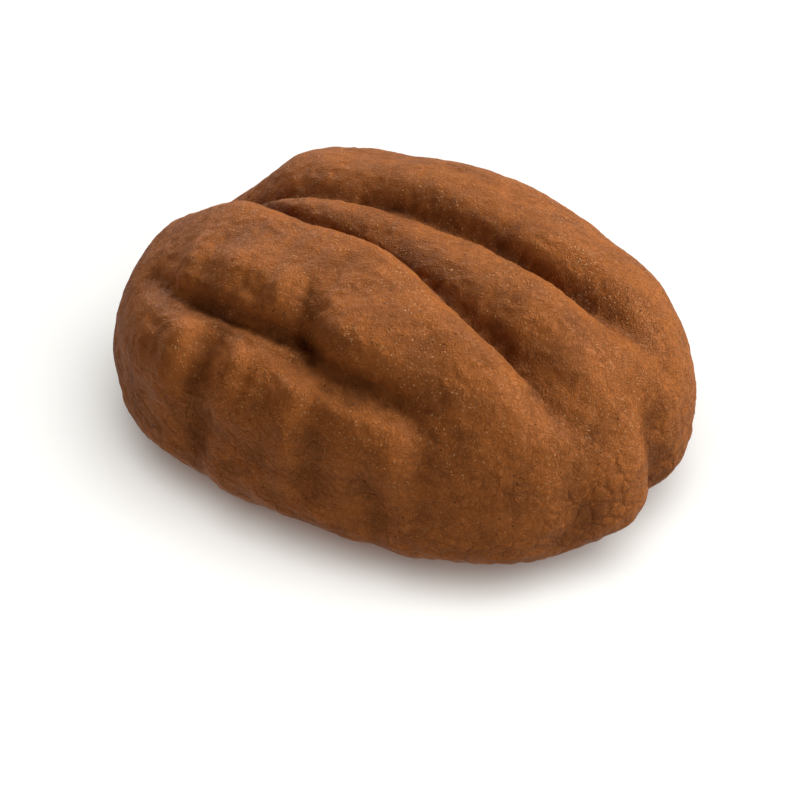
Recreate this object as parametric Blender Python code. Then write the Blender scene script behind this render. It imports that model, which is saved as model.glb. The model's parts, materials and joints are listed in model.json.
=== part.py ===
"""Shelled pecan kernel, one solid that lies on a small flat spot.

The kernel grew as one piece, so it is one object. A quad sphere is drawn out to a rounded body,
and the furrows, creases and swellings are then raised on that body by formula.

Frame: metres, +Z up. X runs along the kernel from its notched end to its blunt end, -Y is the near
flank, and the origin is the middle of the footprint, on the surface that the kernel lies on.

A place on the body is a station and an angle. The station is the share of the half length, from -1
at the notched end to 1 at the blunt end. The angle is in degrees round the body from straight up,
and it is positive on the far side and negative on the near side.
"""

import math
from collections import namedtuple

import bmesh
import bpy
import numpy as np
from mathutils import Vector, noise

MM = 0.001

# Driving dimensions of the body, before it is furrowed
LENGTH = 24.0 * MM
WIDTH = 18.3 * MM
CREST_RISE = 7.1 * MM  # from the widest level up to the crests
BELLY_DROP = 3.55 * MM  # from the widest level down to the rounded underside
FLAT_SPOT_DROP = 3.60 * MM  # from the widest level down to the flat spot
FLAT_SPOT_BLEND = 0.12 * MM  # height over which the underside eases into the flat spot

# How square the body is: 2 is an ellipse, and more is fuller at the shoulders
NOTCHED_END_FULLNESS = 2.53
BLUNT_END_FULLNESS = 2.43
CREST_FULLNESS = 2.68
BELLY_FULLNESS = 2.40
WIDTH_TAPER = -0.066  # change of the width from the middle to the blunt end
CREST_TAPER = 0.076  # change of the crest height from the middle to the blunt end

# The quad sphere that the kernel is made from
SPHERE_CUTS = 30
CREST_GATHER = 0.30  # how far its points are drawn up to the furrowed side, in radii
SPLINE_STEPS = 8  # points to each stretch between two knots of a path
FLOOR_RADIUS = 0.42 * MM  # rounding of a furrow's floor
LEAST_DEPTH = 0.001 * MM  # a furrow this shallow has faded out
MERGE_POWER = 4.0  # how closely furrows that meet keep to the deeper of the two

# Gentle unevenness all over the kernel
LUMP_SIZE = 3.0 * MM
LUMP_HEIGHT = 0.13 * MM

# A place that a furrow, crease or rib passes. Its depth and half width are in millimetres, and lean is
# how many times as wide it is on its far side as on its near side
Knot = namedtuple("Knot", "station angle depth half_width lean", defaults=(1.0,))

# A rounded rise, or a hollow where its height is negative. Height and reach are in millimetres
Swelling = namedtuple("Swelling", "station angle height reach")

# Deep furrows that part the kernel's lobes
FURROWS = {
    "far top furrow": (
        Knot(-1.00, 10, 2.0, 1.5, 1.2),
        Knot(-0.80, 9, 1.8, 1.5, 1.4),
        Knot(-0.62, 9, 1.2, 1.4, 1.7),
        Knot(-0.40, 11, 0.9, 1.1, 1.2),
        Knot(-0.20, 13.7, 1.2, 1.2),
        Knot(0.00, 13.4, 1.25, 1.2),
        Knot(0.20, 13, 1.4, 1.2),
        Knot(0.40, 12, 1.6, 1.3, 1.1),
        Knot(0.58, 12, 1.7, 1.5, 1.1),
        Knot(0.70, 13, 1.3, 1.6, 1.1),
        Knot(0.80, 16, 0.7, 1.6),
        Knot(0.90, 20, 0.2, 1.4),
    ),
    "near top furrow": (
        Knot(-1.00, 5, 1.5, 1.6),
        Knot(-0.80, 4, 1.7, 1.6),
        Knot(-0.62, 1, 1.4, 1.4, 1.2),
        Knot(-0.40, -3.5, 1.0, 1.1, 1.4),
        Knot(-0.25, -4.2, 1.0, 1.05, 1.5),
        Knot(-0.10, -4.2, 1.0, 1.05, 1.5),
        Knot(0.05, -7.3, 1.15, 1.1, 1.4),
        Knot(0.30, -14.5, 1.5, 1.15, 1.5),
        Knot(0.50, -19.5, 1.7, 1.3, 1.3),
        Knot(0.65, -26, 1.5, 1.4, 1.4),
        Knot(0.75, -31, 0.95, 1.5, 1.3),
        Knot(0.87, -37, 0.5, 1.6),
        Knot(0.94, -50, 0.1, 1.5),
    ),
    "near flank furrow": (
        Knot(-0.80, -39, 0.0, 0.9),
        Knot(-0.66, -40, 0.75, 1.0),
        Knot(-0.45, -41, 1.35, 1.1),
        Knot(-0.20, -41.5, 1.4, 1.1),
        Knot(-0.04, -42.5, 1.5, 1.2, 0.9),
        Knot(0.08, -46, 1.5, 1.3, 0.8),
        Knot(0.32, -48, 1.25, 1.2, 0.8),
        Knot(0.44, -51, 0.75, 1.1),
        Knot(0.54, -55, 0.1, 1.0),
    ),
    "far flank furrow": (
        Knot(-0.76, 60, 0.0, 1.1),
        Knot(-0.50, 62, 0.85, 1.5),
        Knot(-0.10, 61, 1.2, 1.7),
        Knot(0.25, 64, 0.9, 1.5),
        Knot(0.52, 67, 0.0, 1.1),
    ),
    "tip cleft": (
        Knot(0.90, -3, 0.1, 1.3),
        Knot(0.955, -5, 0.45, 1.4),
        Knot(0.99, -8, 0.55, 1.2),
        Knot(0.999, 180, 0.75, 1.2),
        Knot(0.97, 183, 0.75, 1.2),
        Knot(0.90, 184, 0.2, 1.0),
    ),
}

# Creases down the flanks, from the flank furrows to the underside
CREASES = {
    "near crease 1": (
        Knot(-0.30, -49, 0.35, 0.8),
        Knot(-0.31, -58, 0.6, 1.1),
        Knot(-0.32, -70, 0.7, 1.2),
        Knot(-0.33, -82, 0.6, 1.2),
        Knot(-0.33, -95, 0.45, 1.2),
        Knot(-0.31, -110, 0.3, 1.1),
        Knot(-0.30, -130, 0.0, 0.9),
    ),
    "near crease 2": (
        Knot(0.11, -52, 0.3, 0.8),
        Knot(0.13, -60, 0.5, 1.1),
        Knot(0.135, -70, 0.5, 1.1),
        Knot(0.12, -82, 0.3, 1.1),
        Knot(0.10, -94, 0.0, 0.9),
    ),
    "near crease 3": (
        Knot(0.42, -55, 0.25, 0.9),
        Knot(0.455, -64, 0.45, 1.2),
        Knot(0.465, -76, 0.3, 1.2),
        Knot(0.45, -90, 0.0, 1.0),
    ),
    "near crease 4": (
        Knot(0.33, -66, 0.0, 0.8),
        Knot(0.36, -78, 0.35, 1.0),
        Knot(0.365, -92, 0.35, 1.1),
        Knot(0.35, -108, 0.15, 1.2),
        Knot(0.30, -130, 0.0, 1.0),
    ),
    "near crease 5": (
        Knot(0.87, -38, 0.3, 1.4),
        Knot(0.885, -50, 0.3, 1.6),
        Knot(0.905, -64, 0.4, 1.7),
        Knot(0.915, -80, 0.4, 1.7),
        Knot(0.905, -96, 0.4, 1.7),
        Knot(0.87, -112, 0.4, 1.6),
        Knot(0.80, -130, 0.0, 1.4),
    ),
    "near crease 6": (
        Knot(-0.10, -90, 0.0, 0.8),
        Knot(-0.13, -105, 0.25, 1.2),
        Knot(-0.12, -125, 0.0, 0.9),
    ),
    "knuckle crease 1": (
        Knot(-0.66, -41, 0.25, 1.0),
        Knot(-0.66, -34, 0.2, 1.0),
        Knot(-0.66, -26, 0.1, 1.1),
        Knot(-0.65, -14, 0.0, 1.0),
    ),
    "knuckle crease 2": (
        Knot(-0.48, -41, 0.3, 1.0),
        Knot(-0.48, -34, 0.25, 1.0),
        Knot(-0.50, -26, 0.15, 1.1),
        Knot(-0.52, -14, 0.0, 1.0),
    ),
    "knuckle crease 3": (
        Knot(-0.28, -41, 0.3, 1.0),
        Knot(-0.29, -34, 0.25, 1.0),
        Knot(-0.30, -26, 0.1, 1.1),
        Knot(-0.31, -14, 0.0, 1.0),
    ),
    "knuckle crease 4": (
        Knot(-0.01, -42, 0.55, 1.1),
        Knot(-0.05, -37, 0.7, 1.1),
        Knot(-0.07, -33, 0.75, 1.1),
        Knot(-0.10, -27, 0.4, 1.2),
        Knot(-0.13, -16, 0.0, 1.0),
    ),
    "far crease 1": (
        Knot(-0.38, 66, 0.2, 0.7),
        Knot(-0.42, 80, 0.4, 1.0),
        Knot(-0.40, 96, 0.35, 1.1),
        Knot(-0.34, 118, 0.0, 0.9),
    ),
    "far crease 2": (
        Knot(0.02, 68, 0.2, 0.7),
        Knot(0.05, 82, 0.35, 1.0),
        Knot(0.03, 98, 0.35, 1.1),
        Knot(0.00, 122, 0.0, 0.9),
    ),
    "far crease 3": (
        Knot(0.40, 72, 0.1, 0.7),
        Knot(0.44, 86, 0.35, 1.0),
        Knot(0.42, 102, 0.3, 1.0),
        Knot(0.38, 120, 0.0, 0.9),
    ),
}

# Ribs between the creases. A rib's depth is its height, and below zero it is a hollow
RIBS = {
    "low crest of the middle lobe": (
        Knot(-0.55, 7, 0.0, 2.0),
        Knot(-0.35, 8, -0.5, 2.4),
        Knot(-0.10, 7, -0.6, 2.7),
        Knot(0.10, 6, -0.6, 2.7),
        Knot(0.30, 4, -0.4, 2.6),
        Knot(0.45, 1, -0.2, 2.4),
        Knot(0.60, 0, 0.0, 2.0),
    ),
    "full lower side of the near lobe": (
        Knot(-0.74, -33, 0.0, 2.0),
        Knot(-0.55, -34, 0.15, 2.4),
        Knot(-0.20, -35, 0.15, 2.4),
        Knot(0.00, -38, 0.2, 2.2),
        Knot(0.20, -41, 0.15, 1.8),
        Knot(0.42, -45, 0.0, 1.4),
    ),
    "shoulder of the near flank": (
        Knot(-0.78, -57, 0.0, 1.8),
        Knot(-0.55, -59, 0.65, 2.3),
        Knot(-0.30, -61, 0.65, 2.3),
        Knot(0.00, -62, 0.65, 2.3),
        Knot(0.25, -63, 0.55, 2.2),
        Knot(0.45, -65, 0.3, 2.0),
        Knot(0.60, -68, 0.0, 1.8),
    ),
    "near rib 1": (
        Knot(-0.41, -50, 0.3, 1.1),
        Knot(-0.40, -60, 0.35, 1.1),
        Knot(-0.42, -72, 0.35, 1.2),
        Knot(-0.44, -88, 0.2, 1.4),
        Knot(-0.46, -102, 0.0, 1.2),
    ),
    "near rib 2": (
        Knot(-0.19, -46, 0.25, 0.9),
        Knot(-0.19, -53, 0.35, 1.0),
        Knot(-0.20, -62, 0.1, 0.9),
        Knot(-0.21, -68, 0.0, 0.8),
    ),
    "near rib 3": (
        Knot(0.05, -49, 0.2, 0.9),
        Knot(0.055, -54, 0.4, 1.0),
        Knot(0.06, -64, 0.35, 1.0),
        Knot(0.06, -76, 0.3, 1.2),
        Knot(0.03, -90, 0.0, 1.1),
    ),
    "near rib 4": (
        Knot(0.16, -55, 0.2, 1.0),
        Knot(0.33, -57, 0.3, 1.2),
        Knot(0.41, -63, 0.4, 1.2),
        Knot(0.42, -74, 0.2, 1.1),
        Knot(0.41, -86, 0.0, 1.0),
    ),
}

SWELLINGS = {
    "fullness of the underside": Swelling(0.0, 180, 0.25, 8.0),
    "hollow at the notched end of the far lobe": Swelling(-0.88, 24, -0.65, 3.6),
    "saddle of the far lobe": Swelling(-0.40, 38, -0.3, 3.3),
    "hump of the far lobe": Swelling(-0.05, 42, 0.1, 3.7),
    "second saddle of the far lobe": Swelling(0.40, 44, -0.25, 3.6),
    "hollow at the blunt end of the far lobe": Swelling(0.82, 50, -0.1, 3.9),
    "crown of the near lobe": Swelling(-0.58, -12, 0.3, 3.0),
    "notched end of the near lobe": Swelling(-0.86, -12, 0.1, 2.4),
    "lower side of the near flank": Swelling(-0.15, -106, 0.2, 4.5),
    "lower corner of the near flank": Swelling(-0.62, -98, 0.15, 3.0),
    "bulge of the near lobe": Swelling(0.18, -37, 0.3, 3.0),
    "first knuckle of the near lobe": Swelling(-0.57, -32, 0.12, 1.8),
    "second knuckle of the near lobe": Swelling(-0.38, -28, 0.15, 1.8),
    "third knuckle of the near lobe": Swelling(-0.17, -31, 0.15, 1.6),
}


def fullness_radius(sine, cosine, fullness):
    """Radius of a superellipse of half axes 1 in the direction given by its sine and cosine."""
    return (np.abs(sine) ** fullness + np.abs(cosine) ** fullness) ** (-1.0 / fullness)


def body_point(station, angle):
    """Points of the smooth body at stations and angles, as an array with a row for each."""
    station = np.asarray(station, float)
    angle = np.radians(np.asarray(angle, float))
    sine, cosine = np.sin(angle), np.cos(angle)
    end_fullness = np.where(station > 0, BLUNT_END_FULLNESS, NOTCHED_END_FULLNESS)
    side_fullness = np.where(cosine > 0, CREST_FULLNESS, BELLY_FULLNESS)
    girth = np.maximum(1 - np.abs(station) ** end_fullness, 0) ** (1 / end_fullness)
    reach = girth * fullness_radius(sine, cosine, side_fullness)
    rise = np.where(cosine > 0, CREST_RISE * (1 + CREST_TAPER * station), BELLY_DROP)
    return np.stack(
        [
            LENGTH / 2 * station,
            WIDTH / 2 * (1 + WIDTH_TAPER * station) * reach * sine,
            rise * reach * cosine,
        ],
        axis=-1,
    )


def station_and_angle(direction):
    """Stations and angles of the body in the directions of the quad sphere's points."""
    x, y, z = direction.T
    round_radius = np.hypot(y, z)
    end_fullness = np.where(x > 0, BLUNT_END_FULLNESS, NOTCHED_END_FULLNESS)
    radius = fullness_radius(x, round_radius, end_fullness)
    return x * radius, np.degrees(np.arctan2(y, z))


def smooth_path(values):
    """Catmull-Rom curve through rows of values, as a dense array."""
    rows = np.vstack([2 * values[0] - values[1], values, 2 * values[-1] - values[-2]])
    share = np.linspace(0, 1, SPLINE_STEPS, endpoint=False)[:, None]
    stretches = []
    for before, start, end, after in zip(rows, rows[1:], rows[2:], rows[3:]):
        stretches.append(
            start
            + 0.5 * share * (end - before)
            + 0.5 * share**2 * (2 * before - 5 * start + 4 * end - after)
            + 0.5 * share**3 * (3 * start - before - 3 * end + after)
        )
    return np.vstack(stretches + [values[-1:]])


def nearest_on_path(points, path):
    """Distance of each point from a path, with the path's depth and the half width on its side there."""
    start, step = path[:-1], np.diff(path, axis=0)
    along = np.einsum("psk,sk->ps", points[:, None] - start[None, :, :3], step[:, :3])
    share = np.clip(along / np.sum(step[:, :3] ** 2, axis=1), 0, 1)
    places = start[:, :3] + share[:, :, None] * step[:, :3]
    gaps = np.linalg.norm(points[:, None] - places, axis=2)
    nearest = gaps.argmin(axis=1)
    row = np.arange(len(points))
    knot = start[nearest] + share[row, nearest, None] * step[nearest]
    depth, half_width, lean = knot[:, 3:].T
    far_side = points[:, 1] > knot[:, 1]
    return gaps[row, nearest], depth, np.where(far_side, half_width * lean, half_width)


def path_of(knots):
    """Dense path through a table of knots: X, Y and Z, depth and half width in metres, and lean."""
    table = np.array(knots, float)
    places = body_point(table[:, 0], table[:, 1])
    return smooth_path(np.hstack([places, table[:, 2:4] * MM, table[:, 4:]]))


def furrow_depth(points, knots):
    """Depth in metres that a furrow sinks each point: two round shoulders that meet at its rounded floor."""
    gap, depth, half_width = nearest_on_path(points, path_of(knots))
    depth = np.maximum(depth, LEAST_DEPTH)
    gap = np.hypot(gap, FLOOR_RADIUS) - FLOOR_RADIUS
    inside = np.clip(half_width - gap, 0, None)
    drop = np.minimum(depth, half_width)
    shoulder = (half_width**2 + drop**2) / (2 * drop)
    sunk = inside**2 / (shoulder + np.sqrt(np.maximum(shoulder**2 - inside**2, 0)))
    return sunk * depth / drop


def rib_height(points, knots):
    """Height in metres that a rib lifts each point, smooth across its width."""
    gap, height, half_width = nearest_on_path(points, path_of(knots))
    return height * np.clip(1 - (gap / half_width) ** 2, 0, 1) ** 2


def swelling_height(points, swelling):
    """Height in metres that one swelling lifts each point of the body."""
    centre = body_point(swelling.station, swelling.angle)
    across = np.linalg.norm(points - centre, axis=1) / (swelling.reach * MM)
    return swelling.height * MM * np.clip(1 - across**2, 0, 1) ** 2


def lump_height(points):
    """Height in metres of the kernel's gentle unevenness."""
    return LUMP_HEIGHT * np.array([noise.noise(Vector(point)) for point in points / LUMP_SIZE])


def relief(points):
    """Height in metres of the kernel's surface above the smooth body, negative in a furrow."""
    cuts = list(FURROWS.values()) + list(CREASES.values())
    sunk = sum(furrow_depth(points, knots) ** MERGE_POWER for knots in cuts) ** (1 / MERGE_POWER)
    ribbed = sum(rib_height(points, knots) for knots in RIBS.values())
    swollen = sum(swelling_height(points, swelling) for swelling in SWELLINGS.values())
    return ribbed + swollen + lump_height(points) - sunk


def quad_sphere(cuts):
    """A cube cut into a grid on each side and blown up to a unit sphere, finest at its top."""
    bm = bmesh.new()
    bmesh.ops.create_cube(bm, size=2.0)
    bmesh.ops.subdivide_edges(bm, edges=bm.edges[:], cuts=cuts, use_grid_fill=True)
    for vertex in bm.verts:
        even = Vector([math.tan(math.pi / 4 * place) for place in vertex.co]).normalized()
        even.z += CREST_GATHER
        vertex.co = even.normalized()
    return bm


def shape_kernel(bm):
    """Moves the quad sphere's points onto the furrowed kernel, with its flat spot at Z 0."""
    direction = np.array([vertex.co for vertex in bm.verts])
    body = body_point(*station_and_angle(direction))
    for vertex, point in zip(bm.verts, body):
        vertex.co = point
    bm.normal_update()
    normal = np.array([vertex.normal for vertex in bm.verts])
    points = body + normal * relief(body)[:, None]

    height = points[:, 2] + FLAT_SPOT_DROP
    eased = (np.clip(height + FLAT_SPOT_BLEND, 0, None)) ** 2 / (4 * FLAT_SPOT_BLEND)
    points[:, 2] = np.where(height > FLAT_SPOT_BLEND, height, eased)

    middle = (points.min(axis=0) + points.max(axis=0)) / 2
    points[:, :2] -= middle[:2]
    for vertex, point in zip(bm.verts, points):
        vertex.co = point


def skin_material():
    """Thin papery brown seed coat, satin."""
    material = bpy.data.materials.new("seed coat")
    material.use_nodes = True
    shader = material.node_tree.nodes["Principled BSDF"]
    shader.inputs["Base Color"].default_value = (0.27, 0.10, 0.036, 1.0)
    shader.inputs["Roughness"].default_value = 0.5
    shader.inputs["Metallic"].default_value = 0.0
    return material


def make_kernel(collection):
    """The kernel as one object in the collection."""
    bm = quad_sphere(SPHERE_CUTS)
    shape_kernel(bm)
    mesh = bpy.data.meshes.new("kernel")
    bm.to_mesh(mesh)
    bm.free()
    mesh.materials.append(skin_material())
    mesh.shade_smooth()
    kernel = bpy.data.objects.new("kernel", mesh)
    collection.objects.link(kernel)
    return kernel


def main():
    for old in list(bpy.data.objects):
        bpy.data.objects.remove(old)
    collection = bpy.data.collections.new("pecan kernel")
    bpy.context.scene.collection.children.link(collection)
    make_kernel(collection)


main()
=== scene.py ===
"""Looks of a shelled pecan kernel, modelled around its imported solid.

The file is laid out as an add-on: one operator dresses the kernel in its seed coat, one sets up the
studio, and a panel in the sidebar lists them with the sizes and colours that a user would change.
Lengths are in metres, and a setting is in millimetres where its name says so.
"""

import json
import math
from collections import namedtuple

import bpy
import numpy as np
from bpy.props import FloatProperty, FloatVectorProperty, PointerProperty
from bpy.types import Operator, Panel, PropertyGroup
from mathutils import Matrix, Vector, noise

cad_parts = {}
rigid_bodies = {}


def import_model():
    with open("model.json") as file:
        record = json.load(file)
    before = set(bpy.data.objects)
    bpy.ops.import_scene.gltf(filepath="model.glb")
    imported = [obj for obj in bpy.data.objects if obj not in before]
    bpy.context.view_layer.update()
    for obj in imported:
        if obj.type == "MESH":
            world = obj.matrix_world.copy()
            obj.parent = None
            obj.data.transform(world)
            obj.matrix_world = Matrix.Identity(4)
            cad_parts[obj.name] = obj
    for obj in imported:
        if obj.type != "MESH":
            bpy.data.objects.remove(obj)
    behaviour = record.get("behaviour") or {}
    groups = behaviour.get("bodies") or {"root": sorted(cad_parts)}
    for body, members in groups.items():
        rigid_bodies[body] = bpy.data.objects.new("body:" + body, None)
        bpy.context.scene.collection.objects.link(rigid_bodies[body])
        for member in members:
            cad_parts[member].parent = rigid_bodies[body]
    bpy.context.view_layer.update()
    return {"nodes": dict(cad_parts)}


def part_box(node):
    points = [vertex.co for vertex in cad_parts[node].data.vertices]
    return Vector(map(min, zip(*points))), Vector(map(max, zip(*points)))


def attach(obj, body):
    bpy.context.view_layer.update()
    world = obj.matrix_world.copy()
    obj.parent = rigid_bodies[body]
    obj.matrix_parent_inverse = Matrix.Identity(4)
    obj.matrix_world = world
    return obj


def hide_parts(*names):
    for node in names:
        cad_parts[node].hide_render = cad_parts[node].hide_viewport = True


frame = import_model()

bl_info = {
    "name": "Pecan Kernel",
    "version": (1, 0, 0),
    "blender": (4, 5, 0),
    "location": "View3D > Sidebar > Pecan",
    "description": "Dresses a shelled pecan kernel in its seed coat and sets it in a pale studio",
    "category": "Object",
}

NODE = "kernel"
PIECE = "kernel_seed_coat"
MM = 0.001

# Camera, at the photograph's viewing angle
CAMERA_AZIMUTH = math.radians(34.2)
CAMERA_ELEVATION = math.radians(40.0)
CAMERA_DISTANCE = 88.29 * MM
CAMERA_AIM = Vector((1.474, -2.464, 4.384)) * MM
LENS_MM = 100.0
SENSOR_MM = 36.0

# Finish of the kernel's mesh
MERGE_DISTANCE = 0.0005 * MM
SUBDIVISIONS = 2
FURROW_STEPS = 240  # rounds of smoothing that level the furrows, to measure how deep they lie
CREASE_STEPS = 24  # rounds that level only the narrow creases
# The furrow and crease depths below also set how much shade is painted into the skin
FURROW_FULL_DEPTH = 0.80 * MM  # depth at which the skin is wholly furrow coloured
RIB_FULL_HEIGHT = 0.30 * MM  # height at which the skin is wholly rib coloured
CREASE_FULL_DEPTH = 0.04 * MM
FLAT_SPOT_CLEARANCE = 0.30 * MM  # relief fades out this far above the surface it lies on

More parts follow.
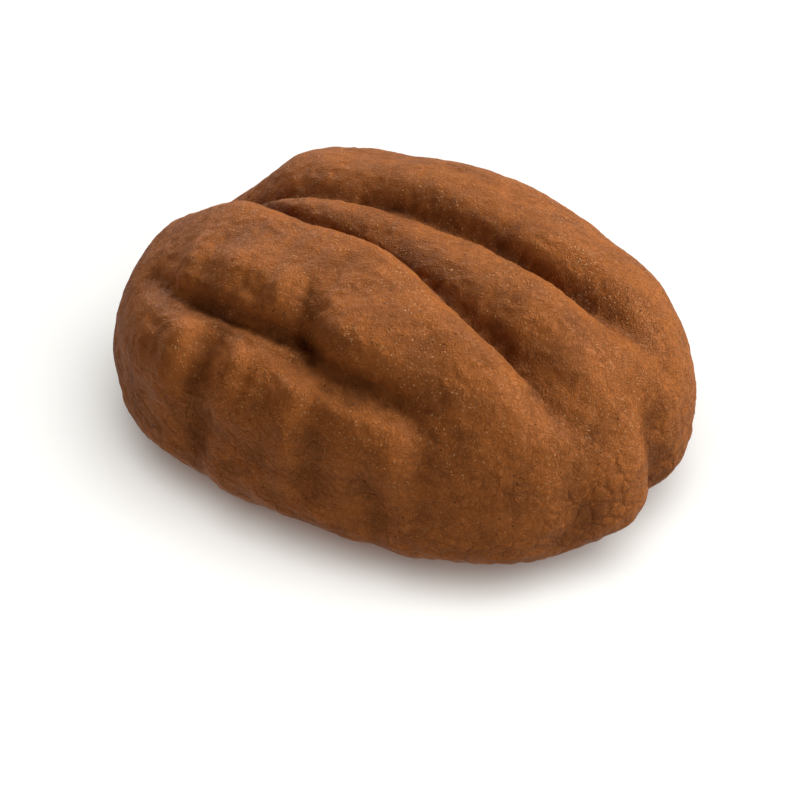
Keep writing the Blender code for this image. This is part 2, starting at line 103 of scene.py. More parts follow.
# Folds of the skin, which move it straight out from the kernel's axis. A station is the share of the half
# length, from -1 at the notched end to 1 at the blunt end. An angle is in degrees round the axis from
# straight up, positive on the far side and negative on the near side. Height, which is below zero in a
# crease, and half width are in millimetres. A full or shallow one fills out part of the solid's own form
AXIS_HEIGHT = 3.6 * MM
SPLINE_STEPS = 6  # points to each stretch between two places of a fold
Place = namedtuple("Place", "station angle height half_width")
FOLDS = {
    "low side of the far lobe": (
        Place(-0.60, 20, 0.00, 0.60),
        Place(-0.40, 21, 0.12, 0.62),
        Place(-0.20, 22.2, 0.18, 0.62),
        Place(0.10, 21.3, 0.18, 0.62),
        Place(0.40, 19.8, 0.16, 0.62),
        Place(0.65, 20.0, 0.10, 0.62),
        Place(0.78, 21, 0.00, 0.62),
    ),
    "rounded brow of the far lobe": (
        Place(-0.60, 27, 0.00, 0.8),
        Place(-0.42, 28, -0.12, 0.9),
        Place(-0.20, 28.5, -0.12, 0.9),
        Place(0.10, 28, -0.12, 0.9),
        Place(0.35, 28, -0.10, 1.0),
        Place(0.55, 28, 0.00, 1.0),
    ),
    "deep start of the far furrow": (
        Place(-0.70, 19.5, 0.00, 0.5),
        Place(-0.60, 19, -0.15, 0.5),
        Place(-0.48, 19, -0.15, 0.5),
        Place(-0.38, 20, 0.00, 0.5),
    ),
    "rim of the middle lobe": (
        Place(-0.50, 11, 0.00, 0.6),
        Place(-0.35, 13, 0.10, 0.6),
        Place(-0.15, 15, 0.10, 0.6),
        Place(0.05, 14, 0.15, 0.6),
        Place(0.20, 13, 0.15, 0.6),
        Place(0.40, 11, 0.08, 0.6),
        Place(0.66, 11, 0.04, 0.6),
        Place(0.80, 12, 0.00, 0.6),
    ),
    "low start of the middle lobe": (
        Place(-0.68, 11, 0.00, 0.5),
        Place(-0.58, 9.5, -0.12, 0.6),
        Place(-0.48, 9.5, -0.12, 0.6),
        Place(-0.38, 11, 0.00, 0.5),
    ),
    "sloping side of the middle lobe": (
        Place(0.12, -3, 0.00, 0.9),
        Place(0.32, -8, -0.10, 1.1),
        Place(0.48, -13, -0.16, 1.3),
        Place(0.64, -17, -0.12, 1.3),
        Place(0.80, -21, 0.00, 1.0),
    ),
    "foot of the near lobe's rim": (
        Place(-0.58, 6, 0.00, 0.35),
        Place(-0.50, 2, -0.11, 0.35),
        Place(-0.40, -1, -0.16, 0.38),
        Place(-0.28, -2.5, -0.17, 0.38),
        Place(-0.15, -3.5, -0.17, 0.38),
        Place(-0.03, -6.5, -0.18, 0.38),
        Place(0.06, -9.5, -0.16, 0.38),
        Place(0.14, -12, -0.14, 0.36),
        Place(0.26, -15.5, 0.00, 0.35),
    ),
    "end of the near top furrow": (
        Place(0.52, -26, 0.00, 0.5),
        Place(0.62, -29, 0.12, 0.6),
        Place(0.70, -31.5, 0.16, 0.7),
        Place(0.80, -34, 0.11, 0.7),
        Place(0.90, -37, 0.00, 0.7),
    ),
    "full lower side of the near lobe": (
        Place(-0.78, -47, 0.00, 0.6),
        Place(-0.62, -47, 0.19, 0.7),
        Place(-0.40, -47, 0.21, 0.7),
        Place(-0.20, -47, 0.21, 0.7),
        Place(-0.11, -47, 0.03, 0.7),
        Place(0.02, -48, 0.08, 0.7),
        Place(0.20, -50, 0.10, 0.7),
        Place(0.36, -51, 0.08, 0.7),
        Place(0.50, -53, 0.00, 0.7),
    ),
    "rounded lower edge of the near lobe": (
        Place(-0.76, -41, 0.00, 0.6),
        Place(-0.60, -41.5, -0.07, 0.7),
        Place(-0.35, -41, -0.08, 0.7),
        Place(-0.17, -41.5, -0.07, 0.7),
        Place(-0.10, -42, 0.00, 0.6),
    ),
    "strong crease of the near lobe": (
        Place(-0.125, -31, 0.00, 0.4),
        Place(-0.115, -35, -0.10, 0.4),
        Place(-0.105, -40, -0.15, 0.45),
        Place(-0.085, -45, -0.20, 0.5),
        Place(-0.030, -48, -0.30, 0.55),
        Place(0.060, -51, 0.00, 0.5),
    ),
    "shallow start of the strong crease": (
        Place(-0.15, -17, 0.00, 0.8),
        Place(-0.12, -25, 0.18, 0.9),
        Place(-0.105, -33, 0.28, 0.9),
        Place(-0.085, -40, 0.28, 0.9),
        Place(-0.06, -45, 0.08, 0.8),
        Place(-0.03, -48, 0.00, 0.7),
    ),
    "fullness beside the strong crease": (
        Place(-0.04, -24, 0.00, 0.9),
        Place(-0.02, -31, 0.12, 1.0),
        Place(-0.01, -38, 0.18, 1.0),
        Place(0.02, -45, 0.00, 0.8),
    ),
    "knuckle 1": (
        Place(-0.57, -33, 0.00, 0.8),
        Place(-0.57, -40, 0.10, 0.9),
        Place(-0.565, -46, 0.12, 0.8),
        Place(-0.56, -49, 0.00, 0.7),
    ),
    "knuckle 2": (
        Place(-0.41, -29, 0.00, 0.9),
        Place(-0.405, -36, 0.09, 1.0),
        Place(-0.40, -44, 0.11, 0.9),
        Place(-0.39, -49, 0.00, 0.7),
    ),
    "knuckle 3": (
        Place(-0.20, -31, 0.00, 0.7),
        Place(-0.19, -37, 0.12, 0.8),
        Place(-0.18, -44, 0.14, 0.8),
        Place(-0.18, -49, 0.00, 0.7),
    ),
    "shallow start of knuckle groove 2": (
        Place(-0.47, -30, 0.00, 0.6),
        Place(-0.47, -36, 0.09, 0.7),
        Place(-0.47, -43, 0.07, 0.7),
        Place(-0.47, -48, 0.00, 0.6),
    ),
    "shallow start of knuckle groove 3": (
        Place(-0.30, -31, 0.00, 0.6),
        Place(-0.30, -37, 0.10, 0.7),
        Place(-0.30, -43, 0.08, 0.7),
        Place(-0.30, -48, 0.00, 0.6),
    ),
    "raised inner wall of the near flank": (
        Place(-0.76, -52, 0.00, 0.45),
        Place(-0.60, -51.8, 0.24, 0.50),
        Place(-0.40, -51.8, 0.46, 0.50),
        Place(-0.20, -51.5, 0.44, 0.50),
        Place(-0.05, -52, 0.40, 0.45),
        Place(0.10, -54.3, 0.46, 0.50),
        Place(0.30, -55, 0.43, 0.50),
        Place(0.45, -56, 0.25, 0.50),
        Place(0.55, -57, 0.00, 0.45),
    ),
    "upper edge of the near flank": (
        Place(-0.74, -55, 0.00, 0.5),
        Place(-0.60, -56, 0.10, 0.6),
        Place(-0.38, -56, 0.12, 0.6),
        Place(-0.31, -55.5, 0.06, 0.6),
        Place(-0.22, -55, 0.14, 0.6),
        Place(-0.14, -55.5, 0.06, 0.6),
        Place(0.00, -57, 0.12, 0.6),
        Place(0.08, -58.5, 0.12, 0.6),
        Place(0.13, -59.0, 0.03, 0.6),
        Place(0.25, -58.5, 0.16, 0.6),
        Place(0.38, -59.5, 0.16, 0.6),
        Place(0.47, -63.0, 0.00, 0.5),
    ),
    "cheek of the near flank": (
        Place(-0.55, -57, 0.00, 0.9),
        Place(-0.44, -59, 0.14, 1.0),
        Place(-0.40, -66, 0.14, 1.0),
        Place(-0.40, -76, 0.00, 0.9),
    ),
    "flank rib 1": (
        Place(-0.37, -56, 0.00, 0.6),
        Place(-0.36, -62, 0.14, 0.7),
        Place(-0.365, -72, 0.14, 0.7),
        Place(-0.38, -84, 0.05, 0.8),
        Place(-0.40, -94, 0.00, 0.8),
    ),
    "shallow flank groove 1": (
        Place(-0.29, -56, 0.00, 0.7),
        Place(-0.305, -62, 0.12, 0.7),
        Place(-0.32, -70, 0.11, 0.7),
        Place(-0.35, -86, 0.10, 0.7),
        Place(-0.35, -98, 0.00, 0.6),
    ),
    "flank rib 2": (
        Place(-0.19, -55, 0.00, 0.5),
        Place(-0.17, -59, 0.14, 0.6),
        Place(-0.165, -66, 0.00, 0.6),
    ),
    "deep flank groove 2": (
        Place(-0.135, -56, 0.00, 0.4),
        Place(-0.13, -62, -0.15, 0.5),
        Place(-0.14, -68, 0.00, 0.5),
    ),
    "flank rib 3": (
        Place(0.06, -56, 0.00, 0.6),
        Place(0.085, -61, 0.11, 0.7),
        Place(0.09, -69, 0.12, 0.7),
        Place(0.06, -79, 0.10, 0.8),
        Place(0.03, -88, 0.00, 0.8),
    ),
    "shallow flank groove 3": (
        Place(0.13, -57, 0.00, 0.6),
        Place(0.14, -62, 0.08, 0.6),
        Place(0.135, -71, 0.07, 0.6),
        Place(0.12, -82, 0.00, 0.6),
    ),
    "flank rib 4": (
        Place(0.41, -59, 0.00, 0.6),
        Place(0.44, -66, 0.18, 0.7),
        Place(0.44, -75, 0.16, 0.8),
        Place(0.44, -88, 0.00, 0.8),
    ),
    "deep flank groove 4": (
        Place(0.33, -70, 0.00, 0.6),
        Place(0.35, -78, -0.08, 0.7),
        Place(0.345, -90, -0.08, 0.7),
        Place(0.34, -102, 0.00, 0.7),
    ),
    "pinch of the near flank": (
        Place(-0.21, -71, 0.00, 0.25),
        Place(-0.25, -74, -0.12, 0.3),
        Place(-0.30, -78, 0.00, 0.25),
    ),
}

# Rims that lean over a furrow, because they grow out along the skin's own normals
RIMS = {
    "rim of the near lobe": (
        Place(-0.15, -9.0, 0.00, 0.6),
        Place(0.00, -12.0, 0.16, 0.7),
        Place(0.12, -15.0, 0.20, 0.7),
        Place(0.28, -20.3, 0.14, 0.7),
        Place(0.45, -26.0, 0.12, 0.7),
        Place(0.55, -30.0, 0.14, 0.7),
        Place(0.64, -34.0, 0.12, 0.7),
        Place(0.75, -38.0, 0.00, 0.7),
    ),
}

# Seed coat patterns, from real sizes
WANDER = 0.3  # how far the raised wrinkles stray, in their own lengths
WANDER_OFFSETS = (11 * MM, 23 * MM, 37 * MM)  # where the noise is read for the stray along X, Y and Z
BLOTCH_SIZE = 1.3 * MM
PATCH_SIZE = 2.0 * MM
VEIN_WANDER = 0.5 * MM
VEIN_WANDER_SIZE = 0.8 * MM
GRAIN_SIZE = 0.07 * MM
WRINKLE_RISE = 0.030 * MM
SPECK_RISE = 0.020 * MM
CUSHION_RISE = 0.065 * MM
GRAIN_RISE = 0.010 * MM
RIB_WARMTH = 0.5  # share of the rib colour that a full rib adds
# The next two set the painted shade in the fine creases and in the furrows
CREASE_SHADE_SHARE = 0.15  # how much a fine crease darkens the skin, against a full furrow
FURROW_SHADE_STRENGTH = 0.6
VEIN_DARKNESS = 0.45

# Ranges: as a pattern's value goes from the first number to the second, the result goes from the third to
# the fourth. Veins, cushions, specks and pits are in their own spacings
RANGE_SOCKETS = ("From Min", "From Max", "To Min", "To Max")
BLOTCH_WARMTH = (0.36, 0.64, 0.0, 0.9)
VEIN_EDGE = (0.0, 0.03, 1.0, 0.0)
CUSHION_EDGE = (0.0, 0.22, 0.0, 1.0)
SHRUNKEN_FLANK = (5.5 * MM, 8.0 * MM, 1.0, 0.15)  # by height over the surface that the kernel lies on
SHRUNKEN_PATCH = (0.38, 0.62, 1.0, 0.25)
SPECK_EDGE = (0.12, 0.30, 1.0, 0.0)
SPECK_DRAW = (0.1, 0.6, 0.0, 1.0)
SPECKS_IN_PATCH = (0.42, 0.58, 0.15, 1.0)
SPECKS_IN_FURROW = (0.1, 0.6, 1.0, 0.1)
SPECKS_ON_FLANK = (0.2, 1.0, 1.0, 0.4)
PIT_EDGE = (0.05, 0.16, 1.0, 0.0)
PIT_DRAW = (0.3, 0.8, 0.0, 0.8)
WORM_EDGE = (0.0, 0.10, 1.0, 0.0)

# A soft lamp: degrees to the left of the camera's right, degrees up, watts to the square metre, degrees
# across and colour
Lamp = namedtuple("Lamp", "azimuth elevation strength width colour")
KERNEL_LAMPS = {
    "key_behind": Lamp(60, 40, 1.8, 30, "#ffffff"),
    "key_right": Lamp(14, 38, 2.4, 40, "#f1f7ff"),
    "fill_front": Lamp(330, 27, 1.26, 30, "#f8f8ff"),
    "edge_behind": Lamp(110, 20, 1.1, 30, "#fff8f0"),
    "edge_left": Lamp(214, 15, 0.66, 30, "#fff0dc"),
}
TABLE_LAMP = Lamp(296, 65, 4.5, 66, "#fefffc")
HORIZON_BLEND = 0.10  # how far above and below the horizon the light from below fades out


def linear(colour):
    """Linear red, green, blue and alpha of an sRGB hex colour."""
    values = [int(colour[place : place + 2], 16) / 255 for place in (1, 3, 5)]
    toned = [v / 12.92 if v <= 0.04045 else ((v + 0.055) / 1.055) ** 2.4 for v in values]
    return (*toned, 1.0)


class SeedCoatSettings(PropertyGroup):
    """Sizes and colours of the kernel's skin."""

    rib_colour: FloatVectorProperty(
        name="Rib Colour",
        description="Warm tan of the skin where it is stretched over the lobes",
        subtype="COLOR",
        size=4,
        min=0.0,
        max=1.0,
        default=linear("#aa632e"),
    )
    body_colour: FloatVectorProperty(
        name="Body Colour",
        description="Plain brown of the skin",
        subtype="COLOR",
        size=4,
        min=0.0,
        max=1.0,
        default=linear("#8d5228"),
    )
    # Painted shade of the furrows and creases, over the skin's own darker tone there, and also the colour of
    # the fine veins
    furrow_shade_and_vein_colour: FloatVectorProperty(
        name="Furrow Colour",
        description="Dark brown of the skin down in the furrows",
        subtype="COLOR",
        size=4,
        min=0.0,
        max=1.0,
        default=linear("#4a250d"),
    )
    # Painted highlight of the pale specks on the grain, and also the tint of the shader's sheen
    glint_colour: FloatVectorProperty(
        name="Speck Colour",
        description="Pale bloom on the tips of the skin's grain",
        subtype="COLOR",
        size=4,
        min=0.0,
        max=1.0,
        default=linear("#d8a36e"),
    )
    # Painted shade in the tiny pits
    pit_shade_colour: FloatVectorProperty(
        name="Pit Colour",
        description="Dark brown of the tiny pits",
        subtype="COLOR",
        size=4,
        min=0.0,
        max=1.0,
        default=linear("#3a1c0b"),
    )
    lump_size: FloatProperty(
        name="Lump Size (mm)",
        description="Length of the gentle swells of the skin",
        default=1.5,
        min=0.3,
    )
    lump_height: FloatProperty(
        name="Lump Height (mm)",
        description="Height of the gentle swells of the skin",
        default=0.07,
        min=0.0,
    )
    wrinkle_size: FloatProperty(
        name="Wrinkle Size (mm)",
        description="Length of the worm-like wrinkles raised in the mesh",
        default=0.55,
        min=0.3,
    )
    wrinkle_height: FloatProperty(
        name="Wrinkle Height (mm)",
        description="Height of the worm-like wrinkles raised in the mesh",
        default=0.048,
        min=0.0,
    )
    fine_wrinkle_size: FloatProperty(
        name="Fine Wrinkle Size (mm)",
        description="Length of the finest wrinkles, which are bump in the material",
        default=0.22,
        min=0.02,
    )
    vein_spacing: FloatProperty(
        name="Vein Spacing (mm)",
        description="Distance between the fine dark veins",
        default=0.7,
        min=0.1,
    )
    speck_spacing: FloatProperty(
        name="Speck Spacing (mm)",
        description="Distance between the pale specks",
        default=0.15,
        min=0.02,
    )
    pit_spacing: FloatProperty(
        name="Pit Spacing (mm)",
        description="Distance between the tiny dark pits",
        default=0.35,
        min=0.02,
    )
    roughness: FloatProperty(
        name="Roughness",
        description="Roughness of the satin skin",
        subtype="FACTOR",
        default=0.42,
        min=0.0,
        max=1.0,
    )
    gloss: FloatProperty(
        name="Gloss",
        description="How much light the dry skin reflects off its surface",
        subtype="FACTOR",
        default=0.075,
        min=0.0,
        max=1.0,
    )
    sheen: FloatProperty(
        name="Sheen",
        description="Pale papery bloom where the skin turns away from the eye",
        subtype="FACTOR",
        default=0.03,
        min=0.0,
        max=1.0,
    )


class StudioSettings(PropertyGroup):
    """Sizes and strengths of the studio."""

    floor_size: FloatProperty(
        name="Floor Size",
        description="Side of the square floor",
        default=2.0,
        min=0.1,
        unit="LENGTH",
    )
    floor_colour: FloatVectorProperty(
        name="Floor Colour",
        description="White of the opal light table",
        subtype="COLOR",
        size=4,
        min=0.0,
        max=1.0,
        default=linear("#e7e6e5"),
    )
    floor_glow: FloatProperty(
        name="Floor Glow",
        description="Light that comes up through the light table",
        default=0.05,
        min=0.0,
    )
    kernel_light: FloatProperty(
        name="Kernel Light",
        description="Strength of all the lamps on the kernel, as a multiple",
        default=1.0,
        min=0.0,
    )
    floor_light: FloatProperty(
        name="Floor Light",
        description="Strength of the lamp on the floor, as a multiple",
        default=1.0,
        min=0.0,
    )
    colour_from_below: FloatVectorProperty(
        name="Colour From Below",
        description="Colour of the light that the light table sends back up",
        subtype="COLOR",
        size=4,
        min=0.0,
        max=1.0,
        default=linear("#fbfaf6"),
    )
    light_from_below: FloatProperty(
        name="Light From Below",
        description="Strength of the light that the light table sends back up",
        default=0.46,
        min=0.0,
    )


def add_node(tree, kind, sockets=None, **settings):
    """Adds a shader node, sets its options, and sets or links each socket it is given."""
    node = tree.nodes.new(kind)
    for name, value in settings.items():
        setattr(node, name, value)
    for name, value in (sockets or {}).items():
        if isinstance(value, bpy.types.NodeSocket):
            tree.links.new(value, node.inputs[name])
        else:
            node.inputs[name].default_value = value
    return node


def activate(thing):
    """Selects one object alone and makes it the active one."""
    for other in bpy.context.view_layer.objects:
        other.select_set(False)
    thing.select_set(True)
    bpy.context.view_layer.objects.active = thing


def new_material(name):
    """A new material, its node tree and its shader."""
    material = bpy.data.materials.new(name)
    material.use_nodes = True
    tree = material.node_tree
    return material, tree, tree.nodes["Principled BSDF"]


def copy_of_solid():
    """The solid's mesh as a new piece: merged, back to quads and subdivided."""
    piece = bpy.data.objects.new(PIECE, frame["nodes"][NODE].data.copy())
    piece.data.name = PIECE
    bpy.context.scene.collection.objects.link(piece)
    activate(piece)
    bpy.ops.object.mode_set(mode="EDIT")
    bpy.ops.mesh.select_all(action="SELECT")
    bpy.ops.mesh.remove_doubles(threshold=MERGE_DISTANCE)
    bpy.ops.mesh.tris_convert_to_quads()
    bpy.ops.object.mode_set(mode="OBJECT")
    rounding = piece.modifiers.new("rounding", "SUBSURF")
    rounding.levels = SUBDIVISIONS
    rounding.render_levels = SUBDIVISIONS
    bpy.ops.object.modifier_apply(modifier=rounding.name)
    bpy.ops.object.shade_smooth()
    return piece


def rows_of(items, attribute):
    """One vector attribute of a mesh's points as an array with a row for each."""
    flat = np.empty(len(items) * 3, np.float32)
    items.foreach_get(attribute, flat)
    return flat.reshape(-1, 3).astype(float)


def levelled(mesh, points, steps):
    """The points after rounds of smoothing, each drawn to the mean of those it shares an edge with."""
    ends = np.empty(len(mesh.edges) * 2, np.int32)
    mesh.edges.foreach_get("vertices", ends)
    start, end = ends.reshape(-1, 2).T
    count = len(points)
    neighbours = np.bincount(start, minlength=count) + np.bincount(end, minlength=count)
    for _ in range(steps):
        total = np.stack(
            [
                np.bincount(start, points[end, axis], count) + np.bincount(end, points[start, axis], count)
                for axis in range(3)
            ],
            axis=1,
        )
        points = total / neighbours[:, None]
    return points


def height_over(mesh, points, normals, steps):
    """Height of each point over the levelled surface, negative in a furrow."""
    return np.einsum("ij,ij->i", points - levelled(mesh, points, steps), normals)


def store(mesh, name, values):
    """Keeps a value for each point under a name that the material reads."""
    attribute = mesh.attributes.new(name, "FLOAT", "POINT")
    attribute.data.foreach_set("value", values.astype(np.float32))


def swell(points, size):
    """Smooth noise at each point, from about -1 to 1."""
    return np.array([noise.noise(Vector(point)) for point in points / size])


def smooth_path(places):
    """Catmull-Rom curve through a fold's places, as a dense array with a row for each."""
    table = np.array(places, float)
    rows = np.vstack([2 * table[0] - table[1], table, 2 * table[-1] - table[-2]])
    share = np.linspace(0, 1, SPLINE_STEPS, endpoint=False)[:, None]
    stretches = []
    for before, start, end, after in zip(rows, rows[1:], rows[2:], rows[3:]):
        stretches.append(
            start
            + 0.5 * share * (end - before)
            + 0.5 * share**2 * (2 * before - 5 * start + 4 * end - after)
            + 0.5 * share**3 * (3 * start - before - 3 * end + after)
        )
    return np.vstack(stretches + [table[-1:]])


def fold_height(along, turn, radius, half_length, places):
    """Height in metres that a fold adds: its own along its line, and nothing past its half width."""
    path = smooth_path(places)
    line, line_turn = path[:, 0] * half_length, np.radians(path[:, 1])
    rise, reach = path[:, 2:].T * MM
    margin = reach.max()
    near = (along > line.min() - margin) & (along < line.max() + margin)
    near &= ((turn - line_turn.min()) * radius > -margin) & ((turn - line_turn.max()) * radius < margin)
    near = np.flatnonzero(near)
    scale = radius[near, None]
    from_start = along[near, None] - line[:-1]
    turn_from_start = (turn[near, None] - line_turn[:-1]) * scale
    step, turn_step = np.diff(line), np.diff(line_turn) * scale
    share = np.clip((from_start * step + turn_from_start * turn_step) / (step**2 + turn_step**2), 0, 1)
    gaps = np.hypot(from_start - share * step, turn_from_start - share * turn_step)
    nearest = gaps.argmin(axis=1)
    row = np.arange(len(near))
    gap, share = gaps[row, nearest], share[row, nearest]

    def between_places(values):
        return values[nearest] + share * (values[nearest + 1] - values[nearest])

    height = np.zeros(len(along))
    height[near] = between_places(rise) * np.clip(1 - (gap / between_places(reach)) ** 2, 0, 1) ** 2
    return height


def raise_folds(mesh):
    """Raises the skin's ribs and rims and sinks its creases, too crisp for the solid's facets."""
    points = rows_of(mesh.vertices, "co")
    normals = rows_of(mesh.vertices, "normal")
    along, across, up = points[:, 0], points[:, 1], points[:, 2] - AXIS_HEIGHT
    turn, radius = np.arctan2(across, up), np.hypot(across, up)
    outward = np.stack([np.zeros(len(points)), np.sin(turn), np.cos(turn)], axis=1)
    half_length = (along.max() - along.min()) / 2
    for folds, direction in ((FOLDS, outward), (RIMS, normals)):
        height = sum(fold_height(along, turn, radius, half_length, places) for places in folds.values())
        move_out(mesh, direction, height)


def set_points(mesh, points):
    """Puts the mesh's points in new places."""
    mesh.vertices.foreach_set("co", points.astype(np.float32).ravel())
    mesh.update()


def move_out(mesh, direction, height):
    """Moves each point along its direction by its height, except where the kernel meets the surface."""
    points = rows_of(mesh.vertices, "co")
    height = height * np.clip(points[:, 2] / FLAT_SPOT_CLEARANCE, 0, 1)
    set_points(mesh, points + direction * height[:, None])


def keep_in_box(mesh):
    """Scales the finished skin, by 1% at most, so that it fills the solid's box and no more."""
    low, high = np.array(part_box(NODE))
    points = rows_of(mesh.vertices, "co")
    share = (points - points.min(axis=0)) / np.ptp(points, axis=0)
    set_points(mesh, low + share * (high - low))


def raise_relief(mesh, settings):
    """Raises the swells and wrinkles of the skin."""
    points = rows_of(mesh.vertices, "co")
    normals = rows_of(mesh.vertices, "normal")
    size = settings.wrinkle_size * MM
    wander = np.stack([swell(points + offset, size) for offset in WANDER_OFFSETS], axis=1)
    worm = 1 - 2 * np.abs(swell(points + wander * WANDER * size, size))
    lumps = swell(points, settings.lump_size * MM) + 0.5 * swell(points, settings.lump_size * MM / 2)
    move_out(mesh, normals, (lumps * settings.lump_height + worm * settings.wrinkle_height) * MM)


def measure_furrows(mesh):
    """Stores how deep each point lies in a furrow or crease, and how high on a rib, from 0 to 1."""
    points = rows_of(mesh.vertices, "co")
    normals = rows_of(mesh.vertices, "normal")
    broad = height_over(mesh, points, normals, FURROW_STEPS)
    narrow = height_over(mesh, points, normals, CREASE_STEPS)
    store(mesh, "furrow", np.clip(-broad / FURROW_FULL_DEPTH, 0, 1))
    store(mesh, "rib", np.clip(broad / RIB_FULL_HEIGHT, 0, 1))
    store(mesh, "crease", np.clip(-narrow / CREASE_FULL_DEPTH, 0, 1))


def seed_coat(settings):
    """Pecan seed coat, a papery skin dried onto the nut: satin, brown, orange over the ribs and wrinkled."""
    material, tree, shader = new_material("pecan_seed_coat")
    place = add_node(tree, "ShaderNodeTexCoord").outputs["Object"]
    furrow = add_node(tree, "ShaderNodeAttribute", attribute_name="furrow").outputs["Fac"]
    rib = add_node(tree, "ShaderNodeAttribute", attribute_name="rib").outputs["Fac"]
    crease = add_node(tree, "ShaderNodeAttribute", attribute_name="crease").outputs["Fac"]

    # Orange and grey-brown blotches a millimetre or so across, with the orange strongest over the ribs
    blotch = add_node(
        tree, "ShaderNodeTexNoise", {"Vector": place, "Scale": 1 / BLOTCH_SIZE, "Detail": 3.0}
    ).outputs["Fac"]
    warmth = add_node(
        tree, "ShaderNodeMapRange", {"Value": blotch, **dict(zip(RANGE_SOCKETS, BLOTCH_WARMTH))}
    ).outputs["Result"]
    warmth = add_node(
        tree, "ShaderNodeMath", {0: rib, 1: RIB_WARMTH, 2: warmth}, operation="MULTIPLY_ADD", use_clamp=True
    ).outputs["Value"]
    skin = add_node(
        tree, "ShaderNodeMix", {0: warmth, 6: settings.body_colour, 7: settings.rib_colour}, data_type="RGBA"
    ).outputs[2]

    # Painted shade: the skin is darkened towards the furrow colour down in the furrows and the fine creases,
    # where shade falls, over its own darker tone there
    painted_furrow_shade = add_node(
        tree,
        "ShaderNodeMath",
        {0: crease, 1: CREASE_SHADE_SHARE, 2: furrow},
        operation="MULTIPLY_ADD",
        use_clamp=True,
    ).outputs["Value"]
    painted_furrow_shade = add_node(
        tree, "ShaderNodeMath", {0: painted_furrow_shade, 1: FURROW_SHADE_STRENGTH}, operation="MULTIPLY"
    ).outputs["Value"]
    skin = add_node(
        tree, "ShaderNodeMix", {0: painted_furrow_shade, 6: skin, 7: settings.furrow_shade_and_vein_colour}, data_type="RGBA"
    ).outputs[2]

    # Patches, a few millimetres across, where the skin is more grained or has shrunk into a net of veins
    patch = add_node(
        tree, "ShaderNodeTexNoise", {"Vector": place, "Scale": 1 / PATCH_SIZE, "Detail": 3.0}
    ).outputs["Fac"]
    drift = add_node(
        tree, "ShaderNodeTexNoise", {"Vector": place, "Scale": 1 / VEIN_WANDER_SIZE, "Detail": 2.0}
    ).outputs["Color"]
    drifted = add_node(
        tree, "ShaderNodeVectorMath", {0: drift, 1: (VEIN_WANDER,) * 3, 2: place}, operation="MULTIPLY_ADD"
    ).outputs["Vector"]
    edge = add_node(
        tree,
        "ShaderNodeTexVoronoi",
        {"Vector": drifted, "Scale": 1 / (settings.vein_spacing * MM)},
        feature="DISTANCE_TO_EDGE",
    ).outputs["Distance"]
    vein = add_node(
        tree, "ShaderNodeMapRange", {"Value": edge, **dict(zip(RANGE_SOCKETS, VEIN_EDGE))}
    ).outputs["Result"]
    cushion = add_node(
        tree,
        "ShaderNodeMapRange",
        {"Value": edge, **dict(zip(RANGE_SOCKETS, CUSHION_EDGE))},
        interpolation_type="SMOOTHSTEP",
    ).outputs["Result"]
    level = add_node(tree, "ShaderNodeSeparateXYZ", {"Vector": place}).outputs["Z"]
    flank = add_node(
        tree, "ShaderNodeMapRange", {"Value": level, **dict(zip(RANGE_SOCKETS, SHRUNKEN_FLANK))}
    ).outputs["Result"]
    shrunk = add_node(
        tree, "ShaderNodeMapRange", {"Value": patch, **dict(zip(RANGE_SOCKETS, SHRUNKEN_PATCH))}
    ).outputs["Result"]
    shrunk = add_node(tree, "ShaderNodeMath", {0: shrunk, 1: flank}, operation="MULTIPLY").outputs["Value"]
    cushion = add_node(tree, "ShaderNodeMath", {0: cushion, 1: shrunk}, operation="MULTIPLY").outputs["Value"]
    vein = add_node(tree, "ShaderNodeMath", {0: vein, 1: shrunk}, operation="MULTIPLY").outputs["Value"]
    vein = add_node(
        tree, "ShaderNodeMath", {0: vein, 1: VEIN_DARKNESS}, operation="MULTIPLY"
    ).outputs["Value"]
    skin = add_node(
        tree, "ShaderNodeMix", {0: vein, 6: skin, 7: settings.furrow_shade_and_vein_colour}, data_type="RGBA"
    ).outputs[2]

    # Pale specks: highlights painted on the tips of the grain, drawn a little coarser than the real grain so
    # that they show
    cell = add_node(
        tree, "ShaderNodeTexVoronoi", {"Vector": drifted, "Scale": 1 / (settings.speck_spacing * MM)}
    )
    glint_speck = add_node(
        tree,
        "ShaderNodeMapRange",
        {"Value": cell.outputs["Distance"], **dict(zip(RANGE_SOCKETS, SPECK_EDGE))},
    ).outputs["Result"]
    draw = add_node(tree, "ShaderNodeSeparateColor", {"Color": cell.outputs["Color"]}).outputs["Red"]
    for chance, limits in (
        (draw, SPECK_DRAW),
        (patch, SPECKS_IN_PATCH),
        (furrow, SPECKS_IN_FURROW),
        (flank, SPECKS_ON_FLANK),
    ):
        chance = add_node(
            tree, "ShaderNodeMapRange", {"Value": chance, **dict(zip(RANGE_SOCKETS, limits))}
        ).outputs["Result"]
        glint_speck = add_node(tree, "ShaderNodeMath", {0: glint_speck, 1: chance}, operation="MULTIPLY").outputs["Value"]
    skin = add_node(
        tree, "ShaderNodeMix", {0: glint_speck, 6: skin, 7: settings.glint_colour}, data_type="RGBA"
    ).outputs[2]

    # Scattered tiny pits, sunk in the bump and painted dark as their shade
    hole = add_node(
        tree, "ShaderNodeTexVoronoi", {"Vector": drifted, "Scale": 1 / (settings.pit_spacing * MM)}
    )
    pit = add_node(
        tree,
        "ShaderNodeMapRange",
        {"Value": hole.outputs["Distance"], **dict(zip(RANGE_SOCKETS, PIT_EDGE))},
    ).outputs["Result"]
    draw = add_node(tree, "ShaderNodeSeparateColor", {"Color": hole.outputs["Color"]}).outputs["Green"]
    draw = add_node(
        tree, "ShaderNodeMapRange", {"Value": draw, **dict(zip(RANGE_SOCKETS, PIT_DRAW))}
    ).outputs["Result"]
    pit = add_node(tree, "ShaderNodeMath", {0: pit, 1: draw}, operation="MULTIPLY").outputs["Value"]
    skin = add_node(
        tree, "ShaderNodeMix", {0: pit, 6: skin, 7: settings.pit_shade_colour}, data_type="RGBA"
    ).outputs[2]
    tree.links.new(skin, shader.inputs["Base Color"])

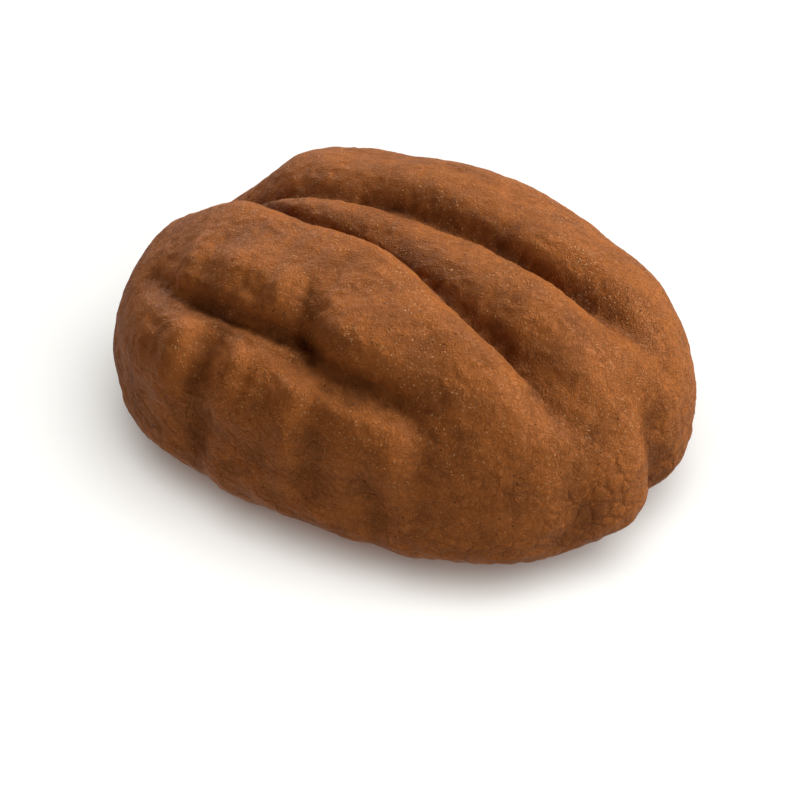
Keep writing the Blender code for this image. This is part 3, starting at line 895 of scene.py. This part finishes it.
    # Short worm-like wrinkles, which run where the noise crosses its middle, and the grain of the skin
    worm = add_node(
        tree,
        "ShaderNodeTexNoise",
        {
            "Vector": place,
            "Scale": 1 / (settings.fine_wrinkle_size * MM),
            "Detail": 1.0,
            "Roughness": 0.4,
            "Distortion": 1.5,
        },
    ).outputs["Fac"]
    worm = add_node(tree, "ShaderNodeMath", {0: worm, 1: 0.5}, operation="SUBTRACT").outputs["Value"]
    worm = add_node(tree, "ShaderNodeMath", {0: worm}, operation="ABSOLUTE").outputs["Value"]
    worm = add_node(
        tree, "ShaderNodeMapRange", {"Value": worm, **dict(zip(RANGE_SOCKETS, WORM_EDGE))}
    ).outputs["Result"]
    grain = add_node(
        tree, "ShaderNodeTexNoise", {"Vector": place, "Scale": 1 / GRAIN_SIZE, "Detail": 1.0}
    ).outputs["Fac"]
    normal = add_node(tree, "ShaderNodeNewGeometry").outputs["Normal"]
    for height, rise in (
        (worm, WRINKLE_RISE),
        (glint_speck, SPECK_RISE),
        (pit, -SPECK_RISE),
        (cushion, CUSHION_RISE),
        (grain, GRAIN_RISE),
    ):
        normal = add_node(
            tree, "ShaderNodeBump", {"Height": height, "Distance": rise, "Normal": normal}
        ).outputs["Normal"]
    tree.links.new(normal, shader.inputs["Normal"])
    shader.inputs["Roughness"].default_value = settings.roughness
    shader.inputs["Specular IOR Level"].default_value = settings.gloss
    shader.inputs["IOR"].default_value = 1.45
    shader.inputs["Sheen Weight"].default_value = settings.sheen
    shader.inputs["Sheen Roughness"].default_value = 0.4
    shader.inputs["Sheen Tint"].default_value = settings.glint_colour
    return material


def light_table(settings):
    """White opal acrylic lit from below: matt, shadowless at the edges and pale under the kernel."""
    material, tree, shader = new_material("opal_acrylic_light_table")
    shader.inputs["Base Color"].default_value = settings.floor_colour
    shader.inputs["Roughness"].default_value = 1.0
    shader.inputs["Specular IOR Level"].default_value = 0.0
    shader.inputs["Emission Color"].default_value = linear("#ffffff")
    shader.inputs["Emission Strength"].default_value = settings.floor_glow
    return material


def place_camera():
    """A long lens at the photograph's viewing angle."""
    sine, cosine = math.sin(CAMERA_AZIMUTH), math.cos(CAMERA_AZIMUTH)
    level = math.cos(CAMERA_ELEVATION)
    back = Vector((sine * level, -cosine * level, math.sin(CAMERA_ELEVATION)))
    bpy.ops.object.camera_add(location=CAMERA_AIM + back * CAMERA_DISTANCE)
    camera = bpy.context.object
    camera.rotation_mode = "QUATERNION"
    camera.rotation_quaternion = (-back).to_track_quat("-Z", "Y")
    camera.data.lens = LENS_MM
    camera.data.sensor_width = SENSOR_MM
    camera.data.clip_start = MM
    bpy.context.scene.camera = camera


def hang_lamp(name, lamp, strength, target):
    """One soft lamp, placed as the photographer sees it, that lights one target alone."""
    right = Vector((math.cos(CAMERA_AZIMUTH), math.sin(CAMERA_AZIMUTH), 0))
    away = Vector((-math.sin(CAMERA_AZIMUTH), math.cos(CAMERA_AZIMUTH), 0))
    turn, rise = math.radians(lamp.azimuth), math.radians(lamp.elevation)
    level = right * math.cos(turn) + away * math.sin(turn)
    toward = level * math.cos(rise) + Vector((0, 0, math.sin(rise)))
    bpy.ops.object.light_add(type="SUN", location=toward)
    thing = bpy.context.object
    thing.name = name
    thing.rotation_mode = "QUATERNION"
    thing.rotation_quaternion = toward.to_track_quat("Z", "Y")
    thing.data.energy = lamp.strength * strength
    thing.data.color = linear(lamp.colour)[:3]
    thing.data.angle = math.radians(lamp.width)
    receivers = bpy.data.collections.new(name + "_lights")
    receivers.objects.link(target)
    thing.light_linking.receiver_collection = receivers


def fill_studio(settings):
    """White light from below the horizon, as a light table sends back up under the kernel."""
    world = bpy.data.worlds.new("studio")
    world.use_nodes = True
    tree = world.node_tree
    bpy.context.scene.world = world
    direction = add_node(tree, "ShaderNodeTexCoord").outputs["Generated"]
    rise = add_node(tree, "ShaderNodeSeparateXYZ", {"Vector": direction}).outputs["Z"]
    strength = add_node(
        tree,
        "ShaderNodeMapRange",
        {
            "Value": rise,
            "From Min": -HORIZON_BLEND,
            "From Max": HORIZON_BLEND,
            "To Min": settings.light_from_below,
            "To Max": 0.0,
        },
    ).outputs["Result"]
    background = tree.nodes["Background"]
    background.inputs["Color"].default_value = settings.colour_from_below
    tree.links.new(strength, background.inputs["Strength"])


def lay_floor(settings):
    """A plain pale floor. The studio's light from below stands in for what it sends back up."""
    bpy.ops.mesh.primitive_plane_add(size=settings.floor_size)
    floor = bpy.context.object
    floor.name = "studio_floor"
    floor.data.materials.append(light_table(settings))
    floor.visible_diffuse = False
    floor.visible_glossy = False
    return floor


class PECAN_OT_kernel(Operator):
    """Dress the kernel in its wrinkled brown seed coat"""

    bl_idname = "pecan.kernel"
    bl_label = "Kernel"

    def execute(self, context):
        settings = context.scene.pecan_seed_coat
        piece = copy_of_solid()
        if not piece.data.polygons:
            raise RuntimeError("the kernel's solid has no faces")
        raise_folds(piece.data)
        raise_relief(piece.data, settings)
        keep_in_box(piece.data)
        measure_furrows(piece.data)
        piece.data.materials.clear()
        piece.data.materials.append(seed_coat(settings))
        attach(piece, "root")
        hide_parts(NODE)
        return {"FINISHED"}


class PECAN_OT_studio(Operator):
    """Set up the pale floor, the soft light and the camera"""

    bl_idname = "pecan.studio"
    bl_label = "Studio"

    def execute(self, context):
        settings = context.scene.pecan_studio
        place_camera()
        fill_studio(settings)
        floor = lay_floor(settings)
        for name, lamp in KERNEL_LAMPS.items():
            hang_lamp(name, lamp, settings.kernel_light, bpy.data.objects[PIECE])
        hang_lamp("table_lamp", TABLE_LAMP, settings.floor_light, floor)
        context.scene.view_settings.view_transform = "Standard"
        return {"FINISHED"}


class PECAN_PT_sidebar(Panel):
    """Lists the kernel's pieces and their settings."""

    bl_label = "Pecan Kernel"
    bl_idname = "PECAN_PT_sidebar"
    bl_space_type = "VIEW_3D"
    bl_region_type = "UI"
    bl_category = "Pecan"

    def draw(self, context):
        for group in (context.scene.pecan_seed_coat, context.scene.pecan_studio):
            box = self.layout.box()
            for name in group.__annotations__:
                box.prop(group, name)
        self.layout.operator(PECAN_OT_kernel.bl_idname)
        self.layout.operator(PECAN_OT_studio.bl_idname)


CLASSES = (SeedCoatSettings, StudioSettings, PECAN_OT_kernel, PECAN_OT_studio, PECAN_PT_sidebar)


def register():
    for kind in CLASSES:
        bpy.utils.register_class(kind)
    bpy.types.Scene.pecan_seed_coat = PointerProperty(type=SeedCoatSettings)
    bpy.types.Scene.pecan_studio = PointerProperty(type=StudioSettings)


def unregister():
    del bpy.types.Scene.pecan_studio
    del bpy.types.Scene.pecan_seed_coat
    for kind in reversed(CLASSES):
        bpy.utils.unregister_class(kind)


def main():
    register()
    for thing in bpy.context.view_layer.objects:
        thing.select_set(False)
    bpy.ops.pecan.kernel()
    bpy.ops.pecan.studio()


if __name__ == "__main__":
    main()
